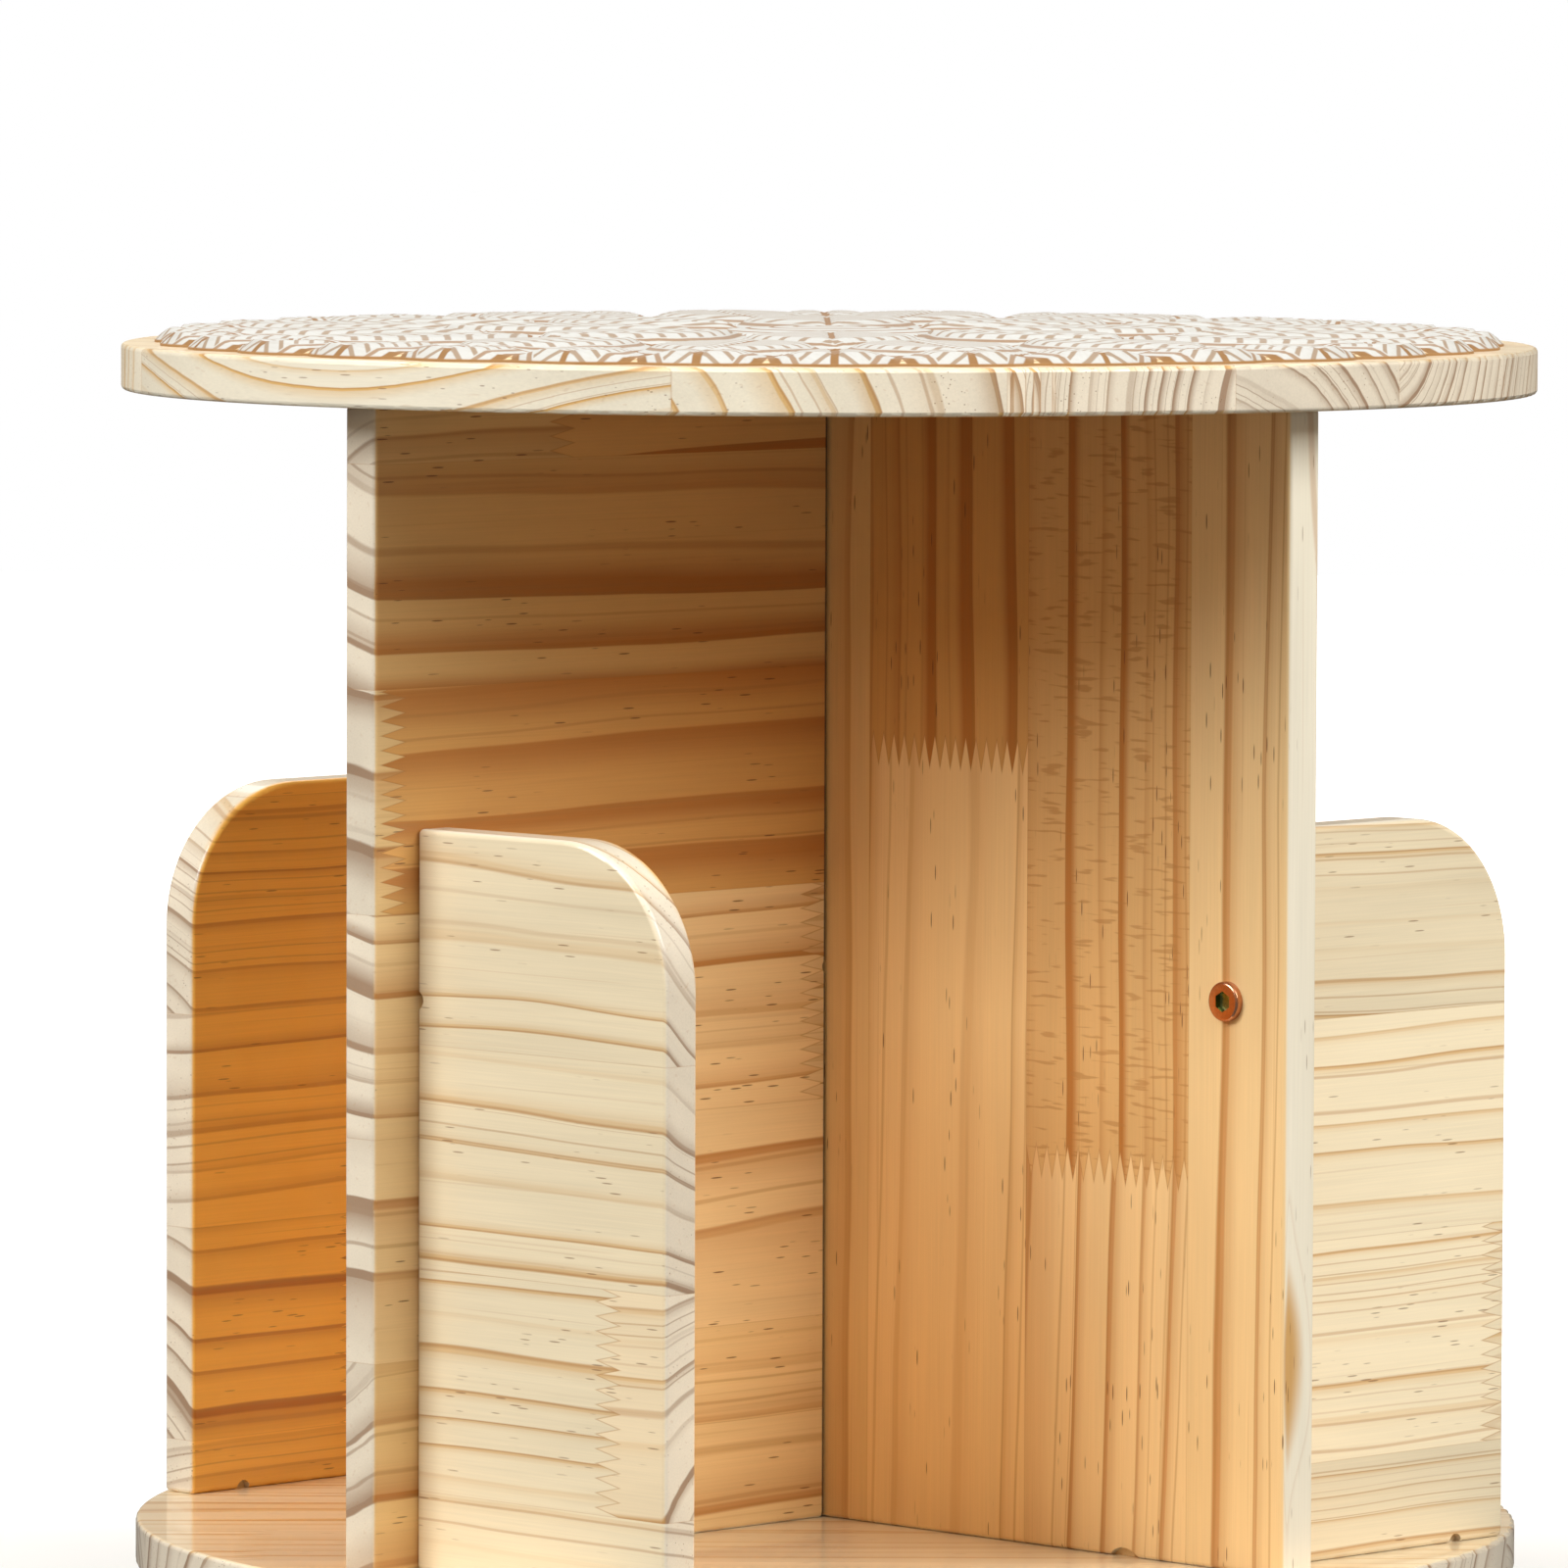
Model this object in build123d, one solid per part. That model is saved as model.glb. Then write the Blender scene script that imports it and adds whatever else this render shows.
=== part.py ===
from build123d import *

import os

# A revolving desk bookshelf: a round pine top and a round pine shelf held apart by crossed dividers,
# with four short guards that keep the books in, on a ball-bearing turntable over a round base.
# Millimetres, +Z up. The origin is on the floor, on the axis that the carousel turns about.
# The cross panel runs along X and the two half panels along Y.

# Boards
top_diameter = 400.0
top_thickness = 13.0
shelf_diameter = 392.0
shelf_thickness = 13.0
base_diameter = 340.0
base_thickness = 13.0
board_thickness = 12.0
clear_height = 320.0
panel_setback = 14.0
edge_radius = 1.5
rim_radius = 1.2

# Guards: short upright boards at right angles to the outer end of each divider
guard_length = 97.0
guard_height = 204.0
guard_setback = 16.0
guard_corner_radius = 40.0

# Carved ornament on the top
ornament_margin = 9.0
ornament_plate = 2.4
ornament_edge = 0.6
scallop_count = 32
scallop_radius = 20.0
outer_petal_count = 16
outer_petal_length = 70.0
outer_petal_width = 48.0
outer_petal_place = 135.0
outer_petal_height = 4.2
inner_petal_count = 8
inner_petal_length = 60.0
inner_petal_width = 42.0
inner_petal_place = 66.0
inner_petal_height = 4.6
boss_radius = 40.0
boss_height = 5.2

# Fasteners
hole_clearance = 0.1
bolt_diameter = 5.0
bolt_head_diameter = 11.0
bolt_head_height = 2.2
bolt_head_chamfer = 0.5
bolt_socket_across_flats = 4.0
bolt_socket_depth = 2.6
bolt_grip = 28.0
bolt_level = 157.0
stud_diameter = 5.0
stud_grip = 25.0
screw_diameter = 4.0
screw_head_diameter = 8.0
screw_socket_across_flats = 2.5
screw_socket_depth = 2.0
shelf_screw_grip = 27.0
bearing_screw_grip = 9.0
panel_screw_place = 122.0
guard_screw_place = 77.0
dowel_diameter = 6.0
dowel_length = 30.0
dowel_depth_in_top = 9.0
dowel_end_gap = 0.5
dowel_inset_outer = 42.0
dowel_place_inner = 60.0

# Small notches that mark the screw positions at the boards' edges: half round on the guards,
# a low arc at the foot of each divider, and one beside the stud that lets it show
notch_radius = 2.5
notch_depth = 2.4
arc_width = 11.0
arc_height = 2.6
stud_mark_radius = 2.0

# Turntable bearing: two aluminium rings with balls in a cage between them
ball_pitch_diameter = 200.0
ball_diameter = 5.0
ball_count = 30
ball_clearance = 0.3
cage_thickness = 0.6
cage_rim = 1.2
cage_clearance = 0.2
ring_gap = 1.4
ring_width = 14.0
ring_height = 9.0
ring_lift = 1.5
ring_screw_count = 4
access_hole_diameter = 14.0

# Feet
foot_count = 6
foot_height = 8.0
foot_top_diameter = 26.0
foot_bottom_diameter = 22.0
foot_inset = 20.0
foot_pocket_diameter = 10.0
foot_web = 4.0
foot_screw_head_height = 2.4
foot_screw_grip = 9.0

# Levels, from the floor up
base_bottom = foot_height
base_top = base_bottom + base_thickness
ring_top = base_top + ring_height + ring_lift
shelf_bottom = ring_top
shelf_top = shelf_bottom + shelf_thickness
top_bottom = shelf_top + clear_height
top_top = top_bottom + top_thickness

# Places in plan, from the axis out
half_board = board_thickness / 2
panel_reach = shelf_diameter / 2 - panel_setback
guard_middle = panel_reach - guard_setback - half_board
dowel_places = (dowel_place_inner, panel_reach - dowel_inset_outer)
arc_radius = (arc_width ** 2 / 4 + arc_height ** 2) / (2 * arc_height)
arc_level = shelf_top + arc_height - arc_radius
ball_pitch_radius = ball_pitch_diameter / 2
ball_level = base_top + (ring_height + ring_lift) / 2
outer_ring_inside = ball_pitch_radius + ring_gap / 2
outer_ring_outside = outer_ring_inside + ring_width
inner_ring_outside = ball_pitch_radius - ring_gap / 2
inner_ring_inside = inner_ring_outside - ring_width
groove_radius = ball_diameter / 2 + ball_clearance
outer_screw_place = (outer_ring_outside + ball_pitch_radius + groove_radius) / 2
inner_screw_place = (inner_ring_inside + ball_pitch_radius - groove_radius) / 2
foot_place = base_diameter / 2 - foot_inset

# The four directions that dividers point in, counter-clockwise from +X
quarter_turns = (0, 90, 180, 270)


def turned(angle, shape):
    """Return the shape turned about the carousel's axis."""
    return Rot(0, 0, angle) * shape


def group(shape, angles):
    """Return copies of one shape, turned about the carousel's axis."""
    return [turned(angle, shape) for angle in angles]


def spaced(count, first=0.0):
    """Return the angles of evenly spaced copies round the axis."""
    return [first + 360.0 * step / count for step in range(count)]


def rod(radius, low, high):
    """Return an upright rod on the axis between two levels."""
    return Pos(0, 0, (low + high) / 2) * Cylinder(radius, high - low)


def hexagon(across_flats, low, high):
    """Return an upright six-sided prism on the axis between two levels."""
    outline = RegularPolygon(across_flats / 2, 6, major_radius=False)
    return Pos(0, 0, low) * extrude(outline, high - low)


def bolt():
    """Return a flat-headed furniture bolt, head up, with the head's seat at level 0."""
    head = rod(bolt_head_diameter / 2, 0, bolt_head_height)
    head = chamfer(head.edges().group_by(Axis.Z)[-1], bolt_head_chamfer)
    shank = rod(bolt_diameter / 2, -(board_thickness + bolt_grip), 0)
    socket = hexagon(bolt_socket_across_flats, bolt_head_height - bolt_socket_depth, bolt_head_height)
    return head + shank - socket


def countersink(clearance=0.0):
    """Return the cone of a countersunk head, flat side up at level 0, widened by a clearance."""
    spread = (screw_head_diameter - screw_diameter) / 2
    cone = Cone(screw_diameter / 2 + clearance, screw_head_diameter / 2 + clearance, spread)
    return Pos(0, 0, -spread / 2) * cone


def countersunk_screw(through, grip):
    """Return a countersunk screw, head up and flush with level 0."""
    shank = rod(screw_diameter / 2, -(through + grip), 0)
    socket = hexagon(screw_socket_across_flats, -screw_socket_depth, 0)
    return countersink() + shank - socket


def countersunk_hole(through, grip):
    """Return the room that such a screw needs, with its clearance."""
    shank = rod(screw_diameter / 2 + hole_clearance, -(through + grip + hole_clearance), 0)
    return countersink(hole_clearance) + shank


# Places of each fastener, each turning the upright form above into place
head_down = Rot(180, 0, 0)
bolt_seat = Pos(guard_middle, -half_board, shelf_top + bolt_level) * Rot(90, 0, 0)
panel_screw_seat = Pos(panel_screw_place, 0, shelf_bottom) * head_down
guard_screw_seat = Pos(guard_middle, half_board + guard_screw_place, shelf_bottom) * head_down
inner_screw_seat = Pos(inner_screw_place, 0, base_top + ring_lift) * head_down
outer_screw_seat = Pos(outer_screw_place, 0, base_top + ring_height)
foot_seat = Pos(foot_place, 0, 0)


def round_board(diameter, thickness, bottom):
    """Return a round board with eased rims, standing on a level."""
    blank = rod(diameter / 2, bottom, bottom + thickness)
    return fillet(blank.edges().filter_by(GeomType.CIRCLE), rim_radius)


def divider(inner, outer):
    """Return an upright board along X between two distances, with eased edges."""
    blank = Box(outer - inner, board_thickness, clear_height)
    eased = fillet(blank.edges(), edge_radius)
    return Pos((inner + outer) / 2, 0, shelf_top + clear_height / 2) * eased


def notch(radius, depth):
    """Return two short rods along Y that mark a screw on both faces of a board along X."""
    mark = Pos(0, -half_board, 0) * Rot(90, 0, 0) * Cylinder(radius, 2 * depth)
    return mark + mirror(mark, Plane.XZ)


def dowel_room(place):
    """Return the hole for one upright dowel, in the top and in a divider."""
    low = top_bottom + dowel_depth_in_top - dowel_length - dowel_end_gap
    high = top_bottom + dowel_depth_in_top + dowel_end_gap
    return Pos(place, 0, 0) * rod(dowel_diameter / 2 + hole_clearance, low, high)


def bolt_room():
    """Return the hole for a guard's bolt through a divider along +X and into the guard."""
    length = board_thickness + bolt_grip + hole_clearance
    return bolt_seat * rod(bolt_diameter / 2 + hole_clearance, -length, bolt_head_height)


def stud_room():
    """Return the hole for the stud that ties both half panels through the cross panel."""
    length = board_thickness + 2 * (stud_grip + hole_clearance)
    hole = Cylinder(stud_diameter / 2 + hole_clearance, length)
    return Pos(0, 0, shelf_top + bolt_level) * Rot(90, 0, 0) * hole


def divider_cuts():
    """Return what is cut from a divider along +X: dowel, bolt and screw holes, and the screw's mark."""
    cuts = [dowel_room(place) for place in dowel_places]
    cuts.append(bolt_room())
    cuts.append(panel_screw_seat * countersunk_hole(shelf_thickness, shelf_screw_grip))
    cuts.append(Pos(panel_screw_place, 0, arc_level) * notch(arc_radius, notch_depth))
    return cuts


def cross_panel():
    """Return the full-width divider along X."""
    cuts = [stud_room()]
    for cut in divider_cuts():
        cuts += group(cut, (0, 180))
    return divider(-panel_reach, panel_reach) - cuts


def half_panel(angle):
    """Return a half divider that butts on the cross panel, turned to its direction."""
    mark_depth = half_board - stud_diameter / 4
    mark = Pos(half_board, 0, shelf_top + bolt_level) * notch(stud_mark_radius, mark_depth)
    cuts = divider_cuts() + [turned(90, stud_room()), mark]
    return turned(angle, divider(half_board, panel_reach) - cuts)


def guard(angle):
    """Return a guard beside the divider in that direction, with one large rounded corner."""
    outline = Rectangle(guard_length, guard_height, align=(Align.MIN, Align.MIN))
    far_corner = outline.vertices().sort_by(lambda point: point.X + point.Y)[-1]
    outline = fillet(far_corner, guard_corner_radius)
    blank = extrude(Plane.YZ * outline, half_board, both=True)
    eased = fillet(blank.edges(), edge_radius)
    placed = Pos(guard_middle, half_board, shelf_top) * eased
    turn_to_guard = Pos(guard_middle, half_board, shelf_top) * Rot(0, 0, 90)
    cuts = [
        bolt_room(),
        guard_screw_seat * countersunk_hole(shelf_thickness, shelf_screw_grip),
        turn_to_guard * Pos(guard_screw_place, 0, 0) * notch(notch_radius, notch_depth),
        turn_to_guard * Pos(0, 0, bolt_level) * notch(notch_radius, notch_depth),
    ]
    return turned(angle, placed - cuts)


def top_disc():
    """Return the round top, with blind holes below for the dowels."""
    cuts = [turned(angle, dowel_room(place)) for angle in quarter_turns for place in dowel_places]
    return round_board(top_diameter, top_thickness, top_bottom) - cuts


def petal_ring(count, first, place, length, width, height):
    """Return a ring of flat leaf-shaped petals that point away from the axis and stand in the plate."""
    root = ornament_plate / 2
    leaf = extrude(Ellipse(length / 2, width / 2), height - root)
    leaf = fillet(leaf.edges().group_by(Axis.Z)[-1], ornament_edge)
    placed = Pos(place, 0, top_top + root) * leaf
    return group(placed, spaced(count, first))


def top_ornament():
    """Return the carved ornament: a scalloped plate, two rings of petals and a centre boss."""
    scallop_place = top_diameter / 2 - ornament_margin - scallop_radius
    scallop = Pos(scallop_place, 0) * Circle(scallop_radius)
    outline = Circle(scallop_place) + group(scallop, spaced(scallop_count))
    plate = Pos(0, 0, top_top) * extrude(outline, ornament_plate)
    boss = rod(boss_radius, top_top + ornament_plate / 2, top_top + boss_height)
    boss = fillet(boss.edges().group_by(Axis.Z)[-1], ornament_edge)
    half_step = 180.0 / outer_petal_count
    petals = petal_ring(outer_petal_count, half_step, outer_petal_place, outer_petal_length,
                        outer_petal_width, outer_petal_height)
    petals += petal_ring(inner_petal_count, 0, inner_petal_place, inner_petal_length,
                         inner_petal_width, inner_petal_height)
    return plate + petals + boss


def shelf_disc():
    """Return the lower round board that the books stand on."""
    screw_hole = countersunk_hole(shelf_thickness, shelf_screw_grip)
    ring_hole = countersunk_hole(ring_height, bearing_screw_grip)
    cuts = group(panel_screw_seat * screw_hole, quarter_turns)
    cuts += group(guard_screw_seat * screw_hole, quarter_turns)
    cuts += group(inner_screw_seat * ring_hole, spaced(ring_screw_count))
    return round_board(shelf_diameter, shelf_thickness, shelf_bottom) - cuts


def base_disc():
    """Return the still round board under the turntable, with a hole that gives access to the ring screws."""
    ring_hole = outer_screw_seat * countersunk_hole(ring_height, bearing_screw_grip)
    cuts = group(ring_hole, spaced(ring_screw_count))
    cuts += group(foot_seat * foot_screw_room(), spaced(foot_count))
    access = rod(access_hole_diameter / 2, base_bottom, base_top)
    cuts.append(Pos(inner_screw_place, 0, 0) * access)
    return round_board(base_diameter, base_thickness, base_bottom) - cuts


def ball_groove():
    """Return the round-bottomed track that the balls run in."""
    return Pos(0, 0, ball_level) * Torus(ball_pitch_radius, groove_radius)


def ring(inside, outside, bottom):
    """Return a plain flat bearing ring."""
    return rod(outside, bottom, bottom + ring_height) - rod(inside, bottom, bottom + ring_height)


def outer_ring():
    """Return the still bearing ring, screwed down to the base."""
    hole = outer_screw_seat * countersunk_hole(ring_height, bearing_screw_grip)
    cuts = group(hole, spaced(ring_screw_count))
    return ring(outer_ring_inside, outer_ring_outside, base_top) - ball_groove() - cuts


def inner_ring():
    """Return the turning bearing ring, screwed up to the shelf."""
    hole = inner_screw_seat * countersunk_hole(ring_height, bearing_screw_grip)
    cuts = group(hole, spaced(ring_screw_count))
    return ring(inner_ring_inside, inner_ring_outside, base_top + ring_lift) - ball_groove() - cuts


def ball_cage():
    """Return the thin strip that keeps the balls apart."""
    reach = ball_diameter / 2 + cage_rim
    inside = ball_pitch_radius - cage_thickness / 2
    outside = ball_pitch_radius + cage_thickness / 2
    strip = rod(outside, ball_level - reach, ball_level + reach)
    strip -= rod(inside, ball_level - reach, ball_level + reach)
    window = Rot(0, 90, 0) * Cylinder(ball_diameter / 2 + cage_clearance, ring_gap)
    first_window = Pos(ball_pitch_radius, 0, ball_level) * window
    return strip - group(first_window, spaced(ball_count))


def foot():
    """Return a tapered rubber foot on the axis, with a pocket below for its screw."""
    middle = Pos(0, 0, foot_height / 2)
    body = middle * Cone(foot_bottom_diameter / 2, foot_top_diameter / 2, foot_height)
    pocket = rod(foot_pocket_diameter / 2, 0, foot_height - foot_web)
    hole = rod(screw_diameter / 2 + hole_clearance, 0, foot_height)
    return body - pocket - hole


def foot_screw():
    """Return the round-headed screw that holds a foot to the base."""
    seat = foot_height - foot_web
    head = rod(screw_head_diameter / 2, seat - foot_screw_head_height, seat)
    shank = rod(screw_diameter / 2, seat, base_bottom + foot_screw_grip)
    low = seat - foot_screw_head_height
    socket = hexagon(screw_socket_across_flats, low, low + screw_socket_depth)
    return head + shank - socket


def foot_screw_room():
    """Return the hole for a foot's screw in the base."""
    return rod(screw_diameter / 2 + hole_clearance, 0, base_bottom + foot_screw_grip + hole_clearance)


def balls():
    """Return the bearing's balls."""
    one = Pos(ball_pitch_radius, 0, ball_level) * Sphere(ball_diameter / 2)
    return group(one, spaced(ball_count))


def dowels():
    """Return the wooden dowels that hold the top to the dividers."""
    high = top_bottom + dowel_depth_in_top
    one = rod(dowel_diameter / 2, high - dowel_length, high)
    return [turned(angle, Pos(place, 0, 0) * one) for angle in quarter_turns for place in dowel_places]


def stud():
    """Return the headless stud that ties both half panels through the cross panel."""
    body = Cylinder(stud_diameter / 2, board_thickness + 2 * stud_grip)
    return Pos(0, 0, shelf_top + bolt_level) * Rot(90, 0, 0) * body


shelf_screw = countersunk_screw(shelf_thickness, shelf_screw_grip)
ring_screw = countersunk_screw(ring_height, bearing_screw_grip)

pieces = {
    "top_disc": top_disc(),
    "top_ornament": top_ornament(),
    "cross_panel": cross_panel(),
    "rear_half_panel": half_panel(90),
    "front_half_panel": half_panel(270),
    "right_guard": guard(0),
    "rear_guard": guard(90),
    "left_guard": guard(180),
    "front_guard": guard(270),
    "shelf_disc": shelf_disc(),
    "base_disc": base_disc(),
    "bearing_outer_ring": outer_ring(),
    "bearing_inner_ring": inner_ring(),
    "bearing_cage": ball_cage(),
    "bearing_balls": balls(),
    "guard_bolts": group(bolt_seat * bolt(), quarter_turns),
    "panel_stud": stud(),
    "panel_screws": group(panel_screw_seat * shelf_screw, quarter_turns),
    "guard_screws": group(guard_screw_seat * shelf_screw, quarter_turns),
    "top_dowels": dowels(),
    "inner_ring_screws": group(inner_screw_seat * ring_screw, spaced(ring_screw_count)),
    "outer_ring_screws": group(outer_screw_seat * ring_screw, spaced(ring_screw_count)),
    "foot_screws": group(foot_seat * foot_screw(), spaced(foot_count)),
}
for number, angle in enumerate(spaced(foot_count), start=1):
    pieces[f"foot_{number}"] = turned(angle, foot_seat * foot())

os.makedirs("parts", exist_ok=True)
for name, shape in pieces.items():
    export_step(Compound(shape) if isinstance(shape, list) else shape, f"parts/{name}.step")
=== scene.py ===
"""Looks of the revolving pine bookshelf: board finishes, carved top, bolts, turntable, studio and camera."""

import logging
import math
from dataclasses import dataclass, field
from enum import Enum

import bmesh
import bpy
from mathutils import Matrix, Vector


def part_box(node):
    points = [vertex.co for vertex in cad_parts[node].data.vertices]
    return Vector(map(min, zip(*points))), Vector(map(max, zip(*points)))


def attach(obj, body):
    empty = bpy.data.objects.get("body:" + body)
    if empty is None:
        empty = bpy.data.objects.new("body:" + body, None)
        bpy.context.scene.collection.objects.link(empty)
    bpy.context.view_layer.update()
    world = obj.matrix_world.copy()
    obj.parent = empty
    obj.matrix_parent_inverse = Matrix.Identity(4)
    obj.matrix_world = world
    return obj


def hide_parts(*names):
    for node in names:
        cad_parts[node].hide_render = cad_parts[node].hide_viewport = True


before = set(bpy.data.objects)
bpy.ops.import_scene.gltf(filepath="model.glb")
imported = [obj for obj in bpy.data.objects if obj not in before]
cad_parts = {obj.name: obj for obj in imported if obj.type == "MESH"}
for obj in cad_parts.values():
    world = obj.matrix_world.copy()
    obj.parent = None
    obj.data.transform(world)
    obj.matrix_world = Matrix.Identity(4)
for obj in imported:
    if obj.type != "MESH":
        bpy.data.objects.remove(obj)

MM = 0.001
SHARP_ANGLE = math.radians(38.0)
FLOAT = "NodeSocketFloat"
VECTOR = "NodeSocketVector"
COLOR = "NodeSocketColor"
Color = tuple[float, float, float, float]
Point = tuple[float, float, float]
Edges = list[bmesh.types.BMEdge]
log = logging.getLogger("bookshelf")


class Direction(Enum):
    """Directions in the shelf's frame that a board's grain or width can run in."""

    ALONG_X = (1.0, 0.0, 0.0)
    ALONG_Y = (0.0, 1.0, 0.0)
    UP = (0.0, 0.0, 1.0)


class Signal:
    """A value in a node graph that plain arithmetic works on."""

    def __init__(self, graph: "NodeGraph", socket: bpy.types.NodeSocket) -> None:
        """Hold one output socket of a graph."""
        self.graph = graph
        self.socket = socket

    def __add__(self, other: "Operand") -> "Signal":
        """Add."""
        return self.graph.math("ADD", self, other)

    __radd__ = __add__

    def __sub__(self, other: "Operand") -> "Signal":
        """Take away."""
        return self.graph.math("SUBTRACT", self, other)

    def __rsub__(self, other: "Operand") -> "Signal":
        """Take this value from a number."""
        return self.graph.math("SUBTRACT", other, self)

    def __mul__(self, other: "Operand") -> "Signal":
        """Multiply."""
        return self.graph.math("MULTIPLY", self, other)

    __rmul__ = __mul__

    def __truediv__(self, other: "Operand") -> "Signal":
        """Divide."""
        return self.graph.math("DIVIDE", self, other)

    def __pow__(self, other: "Operand") -> "Signal":
        """Raise to a power."""
        return self.graph.math("POWER", self, other)

    def floor(self) -> "Signal":
        """Round down."""
        return self.graph.math("FLOOR", self)

    def fract(self) -> "Signal":
        """Keep what is past the whole number."""
        return self.graph.math("FRACT", self)

    def size(self) -> "Signal":
        """Drop the sign."""
        return self.graph.math("ABSOLUTE", self)

    def root(self) -> "Signal":
        """Take the square root."""
        return self.graph.math("SQRT", self)

    def sine(self) -> "Signal":
        """Take the sine of an angle in radians."""
        return self.graph.math("SINE", self)

    def cosine(self) -> "Signal":
        """Take the cosine of an angle in radians."""
        return self.graph.math("COSINE", self)

    def least(self, other: "Operand") -> "Signal":
        """Take the lesser of two values."""
        return self.graph.math("MINIMUM", self, other)

    def most(self, other: "Operand") -> "Signal":
        """Take the greater of two values."""
        return self.graph.math("MAXIMUM", self, other)

    def zigzag(self, reach: float) -> "Signal":
        """Go up to a reach and back down, over and over."""
        return self.graph.math("PINGPONG", self, reach)

    def rise(self, low: "Operand", high: "Operand") -> "Signal":
        """Go smoothly from 0 at one value to 1 at another."""
        node = self.graph.add("ShaderNodeMapRange", self, low, high, interpolation_type="SMOOTHSTEP")
        return self.graph.read(node, "Result")


Operand = Signal | float


class NodeGraph:
    """Adds nodes to one tree and links them."""

    def __init__(self, tree: bpy.types.NodeTree) -> None:
        """Work on a tree."""
        self.tree = tree

    def add(self, kind: str, *values: object, **options: object) -> bpy.types.Node:
        """Add a node.

        Args:
            kind: the node's type.
            values: its first inputs, in order.
            options: its own settings.

        Returns:
            The new node.
        """
        node = self.tree.nodes.new(kind)
        for name, option in options.items():
            setattr(node, name, option)
        for socket, value in zip(node.inputs, values):
            self.feed(socket, value)
        return node

    def fill(self, node: bpy.types.Node, **values: object) -> bpy.types.Node:
        """Feed a node's inputs by name.

        Args:
            node: the node.
            values: what each input gets, with _ for a space in the input's name.

        Returns:
            The same node.
        """
        for label, value in values.items():
            self.feed(node.inputs[label.replace("_", " ")], value)
        return node

    def feed(self, socket: bpy.types.NodeSocket, value: object) -> None:
        """Link an input to a signal or an output, or set its plain value.

        Args:
            socket: the input.
            value: a signal, an output socket, a number or a tuple.
        """
        if isinstance(value, Signal):
            value = value.socket
        if isinstance(value, bpy.types.NodeSocket):
            self.tree.links.new(value, socket)
        else:
            socket.default_value = value

    def read(self, node: bpy.types.Node, output: str) -> Signal:
        """Take one of a node's outputs by name."""
        return Signal(self, node.outputs[output])

    def math(self, operation: str, *values: Operand) -> Signal:
        """Add a Math node with its inputs in order."""
        return self.read(self.add("ShaderNodeMath", *values, operation=operation), "Value")

    def vector(self, x: Operand, y: Operand, z: Operand) -> bpy.types.NodeSocket:
        """Join three values into a vector."""
        return self.add("ShaderNodeCombineXYZ", x, y, z).outputs["Vector"]

    def split(self, vector: object) -> tuple[Signal, Signal, Signal]:
        """Take a vector or a colour apart into three values."""
        node = self.add("ShaderNodeSeparateXYZ", vector)
        return tuple(Signal(self, output) for output in node.outputs)

    def draws(self, x: Operand, y: Operand, z: Operand) -> tuple[Signal, Signal, Signal]:
        """Draw three fixed random numbers from 0 to 1 for a triple of values."""
        node = self.add("ShaderNodeTexWhiteNoise", self.vector(x, y, z), noise_dimensions="3D")
        return self.split(node.outputs["Color"])

    def noise(self, vector: bpy.types.NodeSocket, detail: float = 2.0, scale: float = 1.0) -> Signal:
        """Add soft noise from about -0.5 to 0.5, with detail as the number of its finer layers."""
        node = self.add("ShaderNodeTexNoise", noise_dimensions="3D")
        return self.read(self.fill(node, Vector=vector, Scale=scale, Detail=detail), "Fac") - 0.5

    def mix(self, share: Operand, first: object, second: object, blend: str = "MIX") -> bpy.types.NodeSocket:
        """Blend two colours or outputs, with a share of the second one."""
        node = self.add("ShaderNodeMix", data_type="RGBA", blend_type=blend)
        return self.fill(node, Factor=share, A=first, B=second).outputs["Result"]


class PatternGroup:
    """A shader node group with named inputs and outputs, made once and shared."""

    name = "pattern"
    inputs: dict[str, str] = {}
    outputs: dict[str, str] = {}

    def __init__(self) -> None:
        """Make the group and draw its pattern."""
        tree = bpy.data.node_groups.new(self.name, "ShaderNodeTree")
        for label, kind in self.inputs.items():
            tree.interface.new_socket(label, in_out="INPUT", socket_type=kind)
        for label, kind in self.outputs.items():
            tree.interface.new_socket(label, in_out="OUTPUT", socket_type=kind)
        self.graph = NodeGraph(tree)
        entry = self.graph.add("NodeGroupInput")
        self.given = {label: self.graph.read(entry, label) for label in self.inputs}
        self.graph.fill(self.graph.add("NodeGroupOutput"), **self.draw())

    def draw(self) -> dict[str, object]:
        """Draw the pattern from the given inputs, and list the group's outputs by name."""
        raise NotImplementedError

    def place(self, graph: NodeGraph, **values: object) -> bpy.types.Node:
        """Place the group in a material's graph, its inputs fed by name."""
        return graph.fill(graph.add("ShaderNodeGroup", node_tree=self.graph.tree), **values)


@dataclass(frozen=True)
class StockPlace:
    """A place in a board, in millimetres."""

    along: Signal
    across: Signal
    through: Signal

    def cells(self, cell: tuple[float, float], shift: Operand = 0.0) -> bpy.types.NodeSocket:
        """Count the place in cells of a length along the grain and a width, shifted along the grain."""
        length, width = cell
        return self.along.graph.vector(self.along / length + shift, self.across / width, self.through / width)


@dataclass(frozen=True)
class PineBlock:
    """One block of a finger-jointed board: the place in it, and its fixed random numbers from 0 to 1.

    joint_near and stave_near are the distances to its end and to its side, in millimetres.
    """

    along: Signal
    across: Signal
    joint_near: Signal
    stave_near: Signal
    turn: Signal
    reach: Signal
    lean: Signal
    rise: Signal
    pace: Signal
    tone: Signal
    shift: Signal
    warm: Signal
    chatter: Signal


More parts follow.
